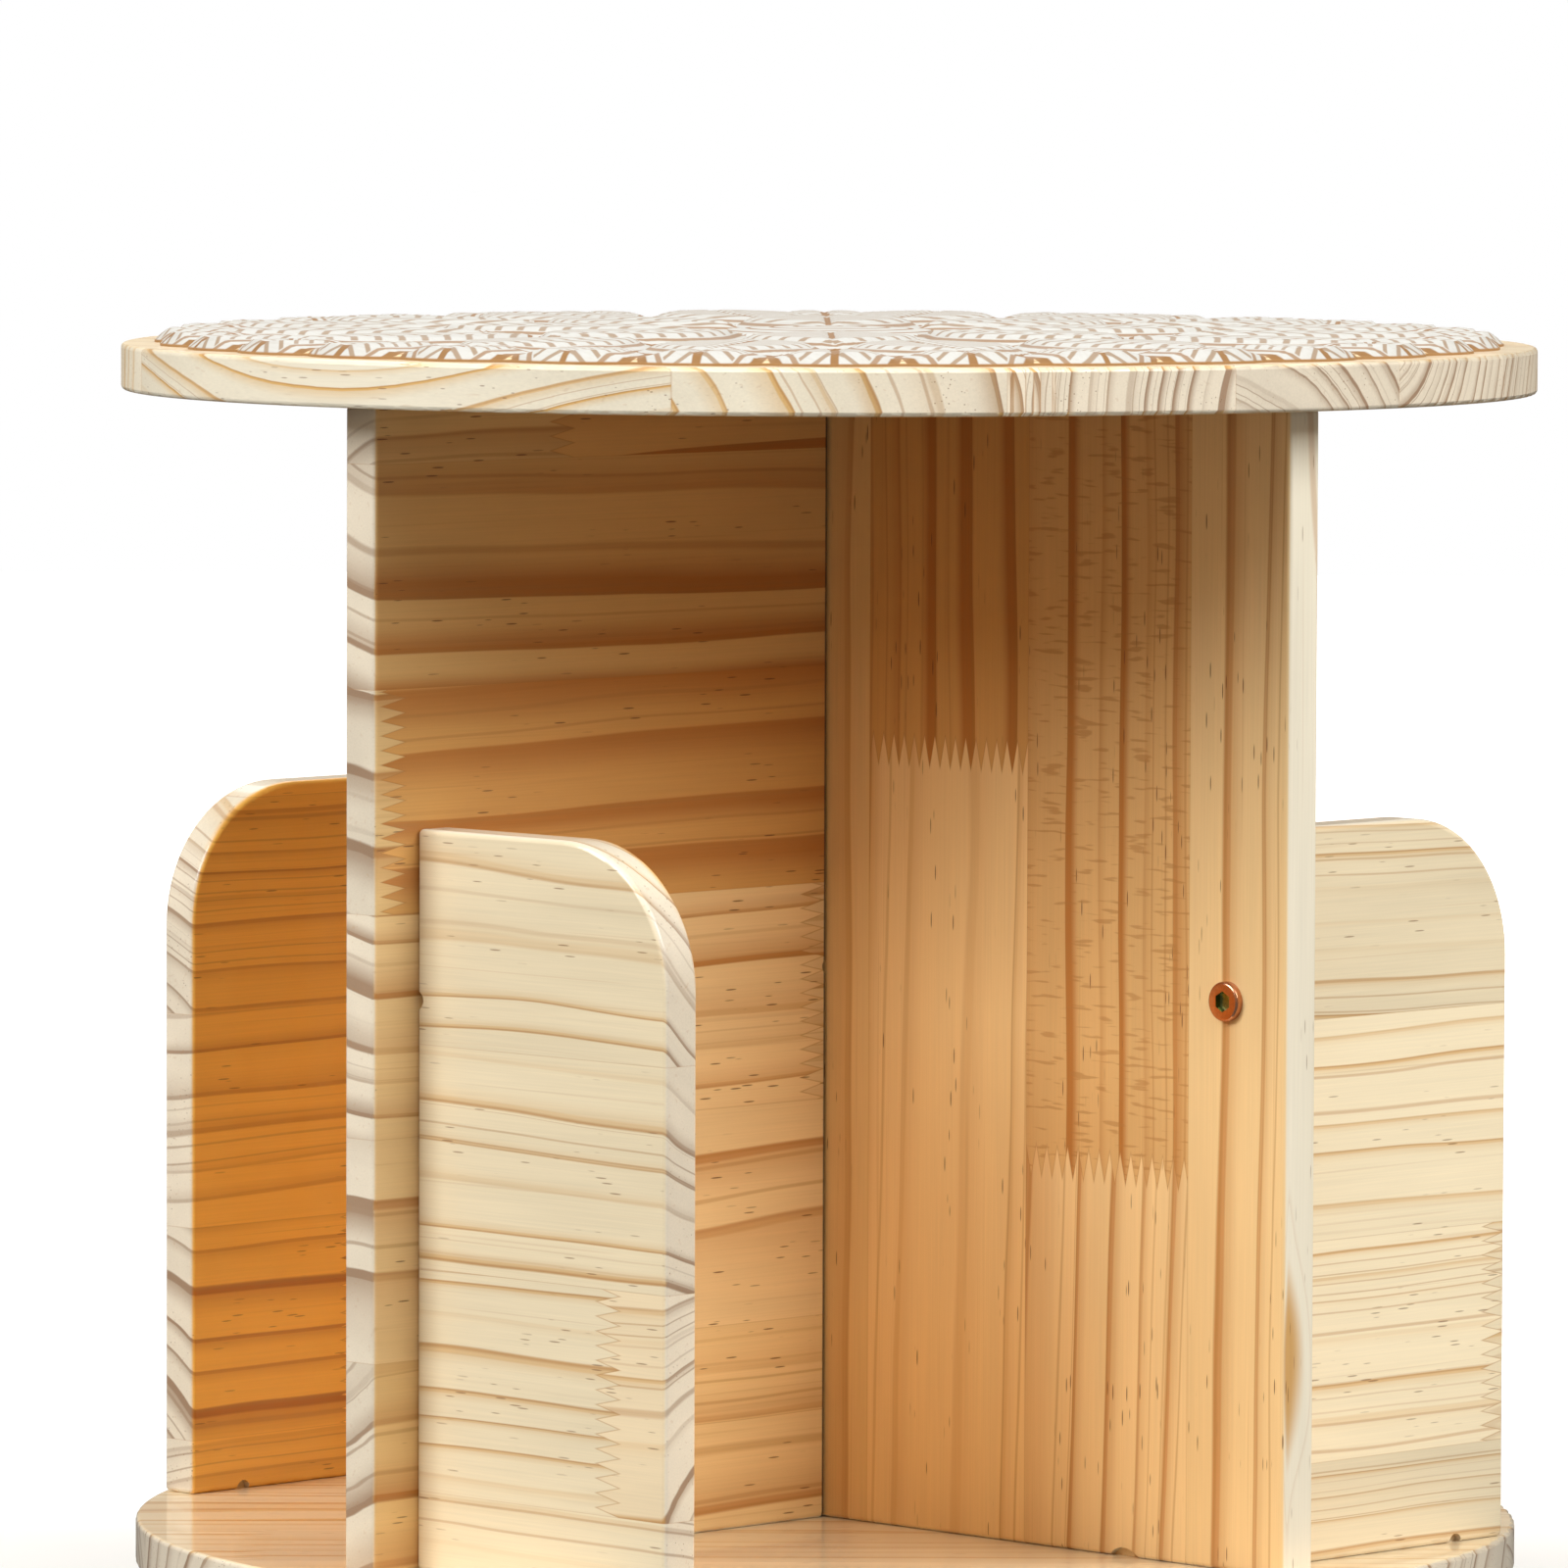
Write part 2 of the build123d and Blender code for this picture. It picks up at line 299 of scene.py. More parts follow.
class PineStock(PatternGroup):
    """Finger-jointed pine as a solid: staves side by side, blocks end to end, each with its own rings.

    Stock is a place in millimetres: along the grain, across the staves and through the board.
    """

    name = "pine_stock"
    inputs = {"Stock": VECTOR, "Stock Normal": VECTOR} | dict.fromkeys(
        ("Stave Start", "Joint Start", "Joint Step", "Seed", "Ring Spacing", "Band Strength", "Honey",
         "Inner Side", "Sawing Spread", "Slope", "Late Share", "Butt Place"), FLOAT)
    outputs = {"Color": COLOR, "Roughness": FLOAT, "Height": FLOAT}

    stave_width = 61.5
    block_length = 390.0
    finger_pitch = 4.0
    finger_depth = 9.0
    pith_near = 45.0
    pith_spread = 90.0
    lean_spread = 0.05
    rise_spread = 0.06
    fibre_cell = (45.0, 0.55)
    mottle_cell = (110.0, 17.0)
    streak_cell = (150.0, 1.3)
    canal_cell = (15.0, 1.4)
    crowd_cell = (70.0, 15.0)
    chatter_pitch = 1.4
    chatter_width = 11.0
    slow_cell = (210.0, 60.0)
    quick_cell = (60.0, 22.0)
    slow_sway = 9.0
    early_wood: Color = (0.86, 0.735, 0.52, 1.0)
    late_wood: Color = (0.68, 0.40, 0.135, 1.0)
    honey_shade_wood: Color = (0.82, 0.51, 0.18, 1.0)
    amber_shade_wood: Color = (0.93, 0.50, 0.095, 1.0)
    russet_shade_wood: Color = (0.60, 0.27, 0.06, 1.0)
    toffee_shade_wood: Color = (0.45, 0.15, 0.022, 1.0)
    line_brown: Color = (0.44, 0.19, 0.045, 1.0)
    canal_brown: Color = (0.20, 0.075, 0.02, 1.0)
    edge_cream_highlight: Color = (0.79, 0.71, 0.575, 1.0)
    end_cream: Color = (0.76, 0.645, 0.495, 1.0)
    end_brown: Color = (0.34, 0.21, 0.125, 1.0)
    corner_shadow_black: Color = (0.02, 0.01, 0.005, 1.0)

    def draw(self) -> dict[str, object]:
        """Draw staves, blocks, rings, resin canals, joints and end grain, with painted shade on the guards'
        inner faces, the dividers' faces and the butt joint's corner, and painted highlight on the edges.

        Returns:
            The wood's colour, roughness and height.
        """
        graph = self.graph
        given = self.given
        place = StockPlace(*graph.split(given["Stock"]))
        block = self.block(place)
        fibre = graph.noise(place.cells(self.fibre_cell), 2.0)
        length, width = self.mottle_cell
        depth = place.through / width + block.shift * 40.0
        mottle = graph.noise(graph.vector(place.along / length, place.across / width, depth), 3.0)
        streak = graph.noise(place.cells(self.streak_cell), 1.0).rise(0.17, 0.25)
        canal = self.canals(place)

        end_on, _, face_on = graph.split(given["Stock Normal"])
        end = end_on.size().rise(0.55, 0.95)
        face = face_on.size().rise(0.5, 0.9)
        # Painted shade: the guards' inner faces, inside the compartments, are tinted amber.
        inside = (place.through * given["Inner Side"]).rise(3.0, 5.5)
        # Painted shade, over a slight honey tone of the pine: the dividers' faces get a high share and turn
        # honey and russet.
        honey = given["Honey"] * face
        # Warm blocks: partly the pine's own block tone, partly painted shade under the top disc.
        heart_and_shade = block.warm.rise(0.4, 0.8) * honey
        rough = block.chatter.rise(0.72, 0.76) * honey.rise(0.3, 0.6)

        wood = graph.mix(honey * (0.75 + block.warm * 0.4), self.early_wood, self.honey_shade_wood)
        wood = graph.mix(block.warm.rise(0.55, 1.0) * honey, wood, self.russet_shade_wood)
        # Board edges and rims paler cream: partly the edges' own tone, partly painted highlight on the eased
        # edges.
        wood = graph.mix((1.0 - face) * 0.7, wood, self.edge_cream_highlight)
        # Painted shade: amber on the guards' inner faces.
        wood = graph.mix(inside, wood, self.amber_shade_wood)
        wood = graph.mix(end, wood, self.end_cream)

        late, line = self.late_band(self.age(place, block), block, heart_and_shade)
        band = late * given["Band Strength"] * (0.8 + block.tone * 0.4) * (1.0 + end * 0.35)
        band = band * (1.0 - honey * 0.5 + heart_and_shade * 1.1)
        # Painted shade: late bands turn toffee on the shaded faces.
        dark = graph.mix(honey.most(inside), self.late_wood, self.toffee_shade_wood)
        dark = graph.mix(end, dark, self.end_brown)
        wood = graph.mix(band, wood, dark)
        thin = graph.mix(end, self.line_brown, self.end_brown)
        wood = graph.mix(line * (0.6 + end * 0.3), wood, thin)
        wood = graph.mix(rough * 0.25, wood, self.toffee_shade_wood)
        value = 1.0 + (block.tone - 0.5) * 0.22 + mottle * 0.24 + fibre * 0.16
        wood = graph.mix(1.0, wood, graph.vector(value, value, value), "MULTIPLY")

        wood = graph.mix(streak * 0.16, wood, self.line_brown)
        wood = graph.mix(canal * (0.55 + honey * 0.4), wood, self.canal_brown)
        wood = graph.mix(self.chatter_marks(place) * rough * 0.5, wood, self.line_brown)
        joint_line = 1.0 - block.joint_near.rise(0.3, 1.1)
        stave_line = 1.0 - block.stave_near.rise(0.05, 0.22)
        seam = joint_line.most(stave_line * 0.6)
        wood = graph.mix(seam * 0.45, wood, self.line_brown)
        # Painted shadow: a near-black line in the corner where a half panel butts on the cross panel.
        butt_shadow = 1.0 - (place.along - given["Butt Place"]).size().rise(1.1, 1.7)
        wood = graph.mix(butt_shadow * 0.9, wood, self.corner_shadow_black)

        roughness = 0.40 + fibre * 0.14 - late * 0.06 + end * 0.12
        height = fibre * 0.35 - canal * 0.8 - seam * 0.5
        return {"Color": wood, "Roughness": roughness, "Height": height}

    def block(self, place: StockPlace) -> PineBlock:
        """Find the block that a place is in, with zigzag fingers at its ends.

        Args:
            place: where it is read.

        Returns:
            The block.
        """
        given = self.given
        draws = self.graph.draws
        stave = (place.across - given["Stave Start"]) / self.stave_width
        stave_number = stave.floor()
        stave_share = stave - stave_number
        half_pitch = self.finger_pitch / 2
        finger = place.across.zigzag(half_pitch) / half_pitch - 0.5
        joint = given["Joint Start"] + stave_number * given["Joint Step"]
        length = (place.along - joint + finger * self.finger_depth) / self.block_length
        number = length.floor()
        share = length - number
        seed = given["Seed"]
        return PineBlock(
            (share - 0.5) * self.block_length,
            (stave_share - 0.5) * self.stave_width,
            share.least(1.0 - share) * self.block_length,
            stave_share.least(1.0 - stave_share) * self.stave_width,
            *draws(stave_number, number, seed),
            *draws(stave_number + 31.0, number + 11.0, seed),
            *draws(stave_number + 67.0, number + 29.0, seed),
        )

    def age(self, place: StockPlace, block: PineBlock) -> Signal:
        """Measure the distance from the trunk's pith, with rings that wander along the trunk.

        Args:
            place: where it is read.
            block: the block there.

        Returns:
            The distance in millimetres.
        """
        angle = (block.turn - 0.5) * self.given["Sawing Spread"] + (block.reach * 2.0).floor() * math.pi
        pith = self.pith_near + (block.reach * 2.0).fract() * self.pith_spread
        tilt = (block.lean - 0.5) * self.lean_spread + self.given["Slope"]
        sideways = block.across + tilt * block.along - angle.cosine() * pith
        inwards = place.through + (block.rise - 0.5) * self.rise_spread * block.along - angle.sine() * pith
        far = block.shift * 70.0
        slow = self.graph.noise(place.cells(self.slow_cell, far), 2.0)
        quick = self.graph.noise(place.cells(self.quick_cell, far), 1.0)
        return (sideways * sideways + inwards * inwards).root() + (slow * self.slow_sway + quick)

    def late_band(self, age: Signal, block: PineBlock, heart_and_shade: Signal) -> tuple[Signal, Signal]:
        """Darken each ring slowly towards its late wood, then end it sharply.

        Args:
            age: the distance from the pith.
            block: the block there.
            heart_and_shade: the warm blocks' share, partly heartwood tone and partly painted shade on the
                dividers, which deepens the slow part.

        Returns:
            The late wood's depth and the dark line at its end, each from 0 to 1.
        """
        graph = self.graph
        even = age / (self.given["Ring Spacing"] * (0.65 + block.pace * 0.8))
        uneven = even + graph.noise(graph.vector(even * 0.45, block.shift * 90.0, 0.0), 1.0) * 1.8
        ring = uneven.floor()
        phase = uneven - ring
        strength, fine, _ = graph.draws(ring, (block.shift * 512.0).floor(), 3.0)
        close = 1.0 - phase.rise(0.93, 0.98)
        soft = phase.rise(0.95 - self.given["Late Share"], 0.90) * (0.55 + heart_and_shade * 0.45)
        crisp = phase.rise(0.78, 0.86)
        broad = soft.most(crisp) * close * (0.15 + strength * 0.85)
        edge = phase.rise(0.88, 0.93) * close * strength.rise(0.2, 0.8)
        thin = (uneven * 2.3 + strength * 0.7).fract()
        line = (1.0 - (thin - 0.5).size().rise(0.03, 0.10)) * fine.rise(0.45, 0.85) * 0.7
        return broad, edge.most(line)

    def canals(self, place: StockPlace) -> Signal:
        """Scatter the short dark dashes of resin canals along the grain.

        Args:
            place: where they are read.

        Returns:
            The canals' share, from 0 to 1.
        """
        graph = self.graph
        cells = graph.add("ShaderNodeTexVoronoi", voronoi_dimensions="3D", feature="F1")
        graph.fill(cells, Vector=place.cells(self.canal_cell), Scale=1.0)
        pick, _, _ = graph.split(cells.outputs["Color"])
        crowd = graph.noise(place.cells(self.crowd_cell), 1.0)
        near = 1.0 - graph.read(cells, "Distance").rise(0.11, 0.18)
        return near * pick.rise(0.2, 0.3) * crowd.rise(-0.03, 0.07)

    def chatter_marks(self, place: StockPlace) -> Signal:
        """Draw the short marks across the grain that a planer leaves on rough blocks."""
        spot = self.graph.vector(place.along / self.chatter_pitch, place.across / self.chatter_width, 0.0)
        return self.graph.noise(spot, 1.0).rise(0.07, 0.17)


@dataclass(frozen=True)
class PineFinish:
    """Lacquered pine on one board, with the run of its grain and the places of its joints.

    stave_start and joint_start are places in the shelf's frame, in millimetres.
    """

    name: str
    grain: Point
    across: Point
    stave_start: float
    joint_start: float
    joint_step: float
    seed: float
    ring_spacing: float = 8.5
    band_strength: float = 0.85
    # Warm tone of the faces: slight on most boards, high on the dividers, where it is mostly painted shade.
    honey: float = 0.15
    # inner_side picks the guard face that gets the painted amber shade.
    inner_side: float = 0.0
    sawing_spread: float = 2.2
    slope: float = 0.0
    late_share: float = 0.36
    # butt_place: where the painted corner shadow line runs along the grain.
    butt_place: float = 9999.0
    lacquer: float = 0.45
    lacquer_roughness: float = 0.07
    lacquer_ior: float = 1.5
    relief: float = 0.35
    relief_depth: float = 0.12

    def material(self, stock: PineStock, node: str) -> bpy.types.Material:
        """Make the material of one board.

        Args:
            stock: the shared pine pattern.
            node: the board's CAD node.

        Returns:
            The material.
        """
        grain = Vector(self.grain).normalized()
        across = Vector(self.across).normalized()
        turn = Matrix((grain, across, grain.cross(across)))
        low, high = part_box(node)
        middle = (low + high) / 2
        shader = MaterialStart(self.name)
        graph = shader.graph
        angles = turn.to_euler("XYZ")
        spot = graph.add("ShaderNodeMapping", vector_type="POINT")
        graph.fill(spot, Vector=shader.object_place, Location=-(turn @ middle) / MM, Rotation=angles,
                   Scale=(1 / MM,) * 3)
        facing = graph.add("ShaderNodeMapping", vector_type="VECTOR")
        graph.fill(facing, Vector=shader.object_normal, Rotation=angles)
        plain = ("joint_step", "seed", "ring_spacing", "band_strength", "honey", "inner_side",
                 "sawing_spread", "slope", "late_share")
        pattern = stock.place(
            graph,
            Stock=spot.outputs["Vector"],
            Stock_Normal=facing.outputs["Vector"],
            Stave_Start=self.stave_start - across.dot(middle) / MM,
            Joint_Start=self.joint_start - grain.dot(middle) / MM,
            Butt_Place=self.butt_place - grain.dot(middle) / MM,
            **{label.title(): getattr(self, label) for label in plain},
        )
        shader.set(Base_Color=pattern.outputs["Color"], Roughness=pattern.outputs["Roughness"],
                   Coat_Weight=self.lacquer, Coat_Roughness=self.lacquer_roughness, Coat_IOR=self.lacquer_ior)
        shader.bump(pattern.outputs["Height"], self.relief, self.relief_depth * MM)
        return shader.material


class MaterialStart:
    """A new material with its shader, output and coordinates."""

    def __init__(self, name: str) -> None:
        """Make the material and link its shader to its output.

        Args:
            name: the material's name.
        """
        self.material = bpy.data.materials.new(name)
        self.material.use_nodes = True
        self.material.node_tree.nodes.clear()
        self.graph = NodeGraph(self.material.node_tree)
        self.bsdf = self.graph.add("ShaderNodeBsdfPrincipled")
        self.graph.add("ShaderNodeOutputMaterial", self.bsdf.outputs["BSDF"])
        places = self.graph.add("ShaderNodeTexCoord")
        self.object_place = places.outputs["Object"]
        self.object_normal = places.outputs["Normal"]

    def set(self, **values: object) -> None:
        """Feed the shader's inputs by name."""
        self.graph.fill(self.bsdf, **values)

    def bump(self, height: object, strength: float, distance: float) -> None:
        """Give the surface fine relief.

        Args:
            height: the relief's signal or output.
            strength: how much of it shows.
            distance: its depth in metres.
        """
        node = self.graph.add("ShaderNodeBump")
        self.graph.fill(node, Height=height, Strength=strength, Distance=distance)
        self.set(Normal=node.outputs["Normal"])


def round_grain(degrees: float) -> dict[str, Point]:
    """Give a round board's grain and width directions.

    Args:
        degrees: the grain's angle from +X, counter-clockwise seen from above.

    Returns:
        The grain and across directions by name.
    """
    angle = math.radians(degrees)
    return {
        "grain": (math.cos(angle), math.sin(angle), 0.0),
        "across": (-math.sin(angle), math.cos(angle), 0.0),
    }


def upright_grain(grain: Direction, across: Direction) -> dict[str, Point]:
    """Give an upright board's grain and width directions by name."""
    return {"grain": grain.value, "across": across.value}


def dress(node: str, material: bpy.types.Material) -> None:
    """Give a CAD node one material.

    Args:
        node: the node's name.
        material: what it is made of.
    """
    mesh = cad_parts[node].data
    mesh.materials.clear()
    mesh.materials.append(material)
    log.info("dressed %s with %s", node, material.name)


@dataclass
class Boards:
    """The pine boards: discs, dividers and guards."""

    stock: PineStock

    def finishes(self) -> dict[str, PineFinish]:
        """List the boards' finishes.

        Returns:
            Each finish by its board's CAD node.
        """
        upright = upright_grain(Direction.UP, Direction.ALONG_X)
        facing_x = upright_grain(Direction.ALONG_Y, Direction.UP)
        facing_y = upright_grain(Direction.ALONG_X, Direction.UP)
        # Painted shade on the dividers: high honey share, with seeds and joint places that put warm dark
        # blocks near the top, over the pine's own block tone.
        divider = {"honey": 0.85, "lacquer": 0.3}
        return {
            "top_disc": PineFinish(
                "pine_top", **round_grain(2), stave_start=12, joint_start=60, joint_step=140, seed=4,
                ring_spacing=6.5, late_share=0.55, band_strength=1.3),
            "shelf_disc": PineFinish(
                "pine_shelf", **round_grain(45), stave_start=20, joint_start=90, joint_step=125, seed=9,
                ring_spacing=7.0, late_share=0.45, band_strength=1.2, honey=0.12, lacquer=0.8),
            "base_disc": PineFinish(
                "pine_base", **round_grain(10), stave_start=8, joint_start=30, joint_step=117, seed=13),
            "cross_panel": PineFinish(
                "pine_cross_panel", **upright, stave_start=22.5, joint_start=264.5, joint_step=-112,
                seed=1618, ring_spacing=17.0, late_share=0.45, band_strength=1.5, **divider,
                sawing_spread=0.7),
            "front_half_panel": PineFinish(
                "pine_front_half", **facing_x, stave_start=287, joint_start=-338, joint_step=-163, seed=9160,
                ring_spacing=17.0, late_share=0.7, band_strength=1.6, **divider, sawing_spread=1.0,
                slope=-0.02, butt_place=-6.0),
            "rear_half_panel": PineFinish(
                "pine_rear_half", **facing_x, stave_start=270, joint_start=95, joint_step=-120, seed=37,
                ring_spacing=16.0, late_share=0.7, band_strength=1.5, **divider, sawing_spread=1.0,
                butt_place=6.0),
            # inner_side marks each guard's inner face for the painted amber shade.
            "front_guard": PineFinish(
                "pine_front_guard", **facing_y, stave_start=66.5, joint_start=81, joint_step=120, seed=41,
                inner_side=-1.0),
            "rear_guard": PineFinish(
                "pine_rear_guard", **facing_y, stave_start=80, joint_start=-60, joint_step=105, seed=43,
                inner_side=1.0),
            "right_guard": PineFinish(
                "pine_right_guard", **facing_x, stave_start=72, joint_start=98, joint_step=128, seed=47,
                inner_side=-1.0),
            "left_guard": PineFinish(
                "pine_left_guard", **facing_x, stave_start=60, joint_start=-40, joint_step=112, seed=53,
                late_share=0.55, band_strength=1.2, inner_side=1.0, sawing_spread=0.9),
        }

    def build(self) -> None:
        """Dress every board."""
        for node, finish in self.finishes().items():
            dress(node, finish.material(self.stock, node))


class PetalLines(PatternGroup):
    """Drawn lines of one ring of petals: fields, outlines and veins."""

    name = "petal_lines"
    inputs = dict.fromkeys(("Radius", "Turns", "Count", "Shift", "Inner", "Outer"), FLOAT)
    outputs = dict.fromkeys(("Field", "Line", "Vein"), FLOAT)

    fullness = 0.8

    def draw(self) -> dict[str, object]:
        """Draw the petals' masks in polar places.

        Returns:
            The shares of petal, of drawn line and of vein.
        """
        given = self.given
        radius = given["Radius"]
        share = (radius - given["Inner"]) / (given["Outer"] - given["Inner"])
        kept = share.most(0.0).least(1.0)
        width = (kept * math.pi).sine().most(0.0) ** self.fullness
        offset = ((given["Turns"] * given["Count"] + given["Shift"]).fract() - 0.5).size() * 2.0
        scale = radius * math.pi / given["Count"]
        gap = (width - offset) * scale
        inside = gap.rise(-0.3, 0.3)
        outline = 1.0 - gap.size().rise(0.9, 1.5)
        contour = (1.0 - (gap - 4.2).size().rise(0.5, 1.0)) * 0.8
        rib = (1.0 - (offset * scale).rise(0.6, 1.1)) * kept.rise(0.08, 0.12) * (1.0 - kept.rise(0.78, 0.84))
        veins = ((kept * 11.0 - offset * 2.6).fract() - 0.5).size()
        vein = (1.0 - veins.rise(0.10, 0.20)) * gap.rise(5.2, 5.8)
        inked = outline.most(contour * inside).most(rib * inside)
        return {"Field": inside, "Line": inked, "Vein": vein * inside}


@dataclass(frozen=True)
class PetalRing:
    """One ring of carved petals, sizes in millimetres."""

    count: int
    inner: float
    outer: float
    peak: float
    shift: float = 0.0
    step: float = 0.5
    dome_width: float = 9.0
    crease_depth: float = 0.7
    crease_width: float = 1.6

    def gap(self, radius: float, turns: float) -> float:
        """Measure how far inside its nearest petal a place is.

        Args:
            radius: the place's distance from the axis.
            turns: its angle in turns.

        Returns:
            The distance to the petal's side, less than 0 outside.
        """
        share = (radius - self.inner) / (self.outer - self.inner)
        if not 0.0 < share < 1.0:
            return -1.0
        width = math.sin(math.pi * share) ** PetalLines.fullness
        offset = abs((turns * self.count + self.shift) % 1.0 - 0.5) * 2.0
        return (width - offset) * math.pi * radius / self.count

    def height(self, radius: float, turns: float, ground: float) -> float:
        """Give the carved height at a place.

        Args:
            radius: the place's distance from the axis.
            turns: its angle in turns.
            ground: the height between the petals.

        Returns:
            The height above the board.
        """
        inside = self.gap(radius, turns)
        if inside <= 0.0:
            return ground
        dome = min(inside / self.dome_width, 1.0)
        dome = dome * dome * (3.0 - 2.0 * dome)
        offset = abs((turns * self.count + self.shift) % 1.0 - 0.5) * math.tau * radius / self.count
        crease = self.crease_depth * math.exp(-((offset / self.crease_width) ** 2)) * dome
        return ground + self.step + (self.peak - ground - self.step) * dome - crease


@dataclass
class TopOrnament:
    """Carved and painted rosette on the top board, sizes in millimetres."""

    reach: float = 190.8
    floor_level: float = 377.5
    ground: float = 1.5
    boss_radius: float = 33.0
    boss_peak: float = 5.0
    scallops: int = 32
    scallop_depth: float = 6.0
    squeeze_from: float = 0.7
    edge_height: float = 0.6
    edge_slope: float = 0.9
    spokes: int = 480
    steps: int = 100
    border: PetalRing = PetalRing(32, 148.0, 204.0, 3.9, 0.5)
    outer: PetalRing = PetalRing(16, 92.0, 178.0, 4.6)
    inner: PetalRing = PetalRing(8, 28.0, 112.0, 5.1, 0.5)
    hoop_pitch: float = 6.6
    bare_wood: Color = (0.74, 0.55, 0.34, 1.0)
    hatch_brown: Color = (0.40, 0.24, 0.11, 1.0)
    fresh_white: Color = (0.525, 0.51, 0.48, 1.0)
    worn_white: Color = (0.435, 0.385, 0.33, 1.0)
    vein_brown: Color = (0.30, 0.205, 0.13, 1.0)
    line_brown: Color = (0.27, 0.14, 0.055, 1.0)
    wall_brown: Color = (0.32, 0.17, 0.065, 1.0)
    mesh: bmesh.types.BMesh = field(default_factory=bmesh.new)

    def edge(self, turns: float) -> float:
        """Give the rosette's radius in one direction."""
        bulge = abs(math.sin(math.pi * (turns * self.scallops + 0.5))) ** 0.7
        return self.reach - self.scallop_depth * (1.0 - bulge)

    def surface(self, radius: float, turns: float) -> float:
        """Give the carved height at a place.

        Args:
            radius: the place's distance from the axis.
            turns: its angle in turns.

        Returns:
            The height above the board.
        """
        level = max(ring.height(radius, turns, self.ground) for ring in (self.border, self.outer, self.inner))
        if radius < self.boss_radius:
            level = max(level, self.boss_peak * math.sqrt(1.0 - 0.5 * (radius / self.boss_radius) ** 2))
        from_edge = self.edge(turns) - radius
        return min(level, self.edge_height + max(from_edge, 0.0) * self.edge_slope)

    def build(self) -> None:
        """Carve the rosette and paint it."""
        mesh = self.mesh
        spine = [mesh.verts.new((0.0, 0.0, 0.0))]
        edges = []
        for step in range(1, self.steps + 1):
            spine.append(mesh.verts.new((self.reach * step / self.steps, 0.0, 0.0)))
            edges.append(mesh.edges.new(spine[-2:]))
        bmesh.ops.spin(mesh, geom=spine + edges, cent=(0, 0, 0), axis=(0, 0, 1), angle=math.tau,
                       steps=self.spokes, use_merge=True, use_duplicate=False)
        bmesh.ops.remove_doubles(mesh, verts=mesh.verts[:], dist=0.01)
        self.carve()
        self.close()
        piece = piece_from(mesh, "carved_rosette")
        piece.data.materials.append(self.paint())
        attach(piece, "carousel")
        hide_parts("top_ornament")

    def carve(self) -> None:
        """Lift the flat disc's vertices to the carved surface."""
        for vert in self.mesh.verts:
            radius = math.hypot(vert.co.x, vert.co.y)
            turns = math.atan2(vert.co.y, vert.co.x) / math.tau
            squeeze = 1.0
            if radius > self.squeeze_from * self.reach:
                share = (radius / self.reach - self.squeeze_from) / (1.0 - self.squeeze_from)
                squeeze = 1.0 - (1.0 - self.edge(turns) / self.reach) * share
            radius *= squeeze
            level = self.floor_level + self.surface(radius, turns)
            vert.co = (vert.co.x * squeeze, vert.co.y * squeeze, level)

    def close(self) -> None:
        """Drop a wall from the rim to the board and close the underside."""
        wall = bmesh.ops.extrude_edge_only(self.mesh, edges=open_edges(self.mesh.edges))["geom"]
        for vert in vertices(wall):
            vert.co.z = self.floor_level
        close_to_point(self.mesh, open_edges(wall), self.floor_level)

    def paint(self) -> bpy.types.Material:
        """Paint white fields and brown lines on the carved wood.

        Returns:
            The material.
        """
        shader = MaterialStart("painted_rosette")
        graph = shader.graph
        x, y, z = graph.split(shader.object_place)
        wander = graph.noise(shader.object_place, 2.0, 60.0)
        radius = (x * x + y * y).root() / MM + wander * 1.6
        turns = graph.math("ARCTAN2", y, x) / math.tau + wander * 0.002
        lines = PetalLines()
        petal: Operand = 0.0
        line: Operand = 0.0
        vein: Operand = 0.0
        for ring in (self.border, self.outer, self.inner):
            drawn = lines.place(graph, Radius=radius, Turns=turns, Count=float(ring.count), Shift=ring.shift,
                                Inner=ring.inner, Outer=ring.outer)
            inside = graph.read(drawn, "Field")
            petal = inside + petal * (1.0 - inside)
            line = graph.read(drawn, "Line").most((1.0 - inside) * line)
            vein = graph.read(drawn, "Vein") + (1.0 - inside) * vein
        boss = 1.0 - radius.rise(self.boss_radius - 0.6, self.boss_radius)
        hoop = 1.0 - ((radius / self.hoop_pitch).fract() - 0.5).size().rise(0.06, 0.16)
        line = line * (1.0 - boss) + hoop * boss
        petal = petal.most(boss)
        hatch = 1.0 - ((radius * 0.55 + turns * 64.0).fract() - 0.5).size().rise(0.10, 0.24)
        grain = graph.noise(graph.vector(x / (9.0 * MM), y / (0.9 * MM), z / MM), 3.0)
        bare = graph.mix(hatch * 0.8, self.bare_wood, self.hatch_brown)
        white = graph.mix(grain.rise(-0.1, 0.5) * 0.5, self.fresh_white, self.worn_white)
        color = graph.mix(petal, bare, white)
        color = graph.mix(vein * 0.9, color, self.vein_brown)
        color = graph.mix(line, color, self.line_brown)
        wall = 1.0 - (z / MM - self.floor_level).rise(0.5, 1.0)
        color = graph.mix(wall, color, self.wall_brown)
        shader.set(Base_Color=color, Roughness=0.55 + grain * 0.2, Specular_IOR_Level=0.2)
        shader.bump(line * -0.6 - vein * 0.3 + grain * 0.2, 0.5, 0.25 * MM)
        return shader.material


def vertices(geometry: list[object]) -> list[bmesh.types.BMVert]:
    """Pick the vertices out of an operator's result."""
    return [item for item in geometry if isinstance(item, bmesh.types.BMVert)]


def open_edges(geometry: list[object]) -> Edges:
    """Pick the edges that have one face out of an operator's result."""
    return [item for item in geometry if isinstance(item, bmesh.types.BMEdge) and item.is_boundary]


def close_to_point(mesh: bmesh.types.BMesh, loop: Edges, level: float) -> None:
    """Close a ring of edges to a point at a level on the axis."""
    made = bmesh.ops.extrude_edge_only(mesh, edges=loop)["geom"]
    bmesh.ops.pointmerge(mesh, verts=vertices(made), merge_co=(0.0, 0.0, level))


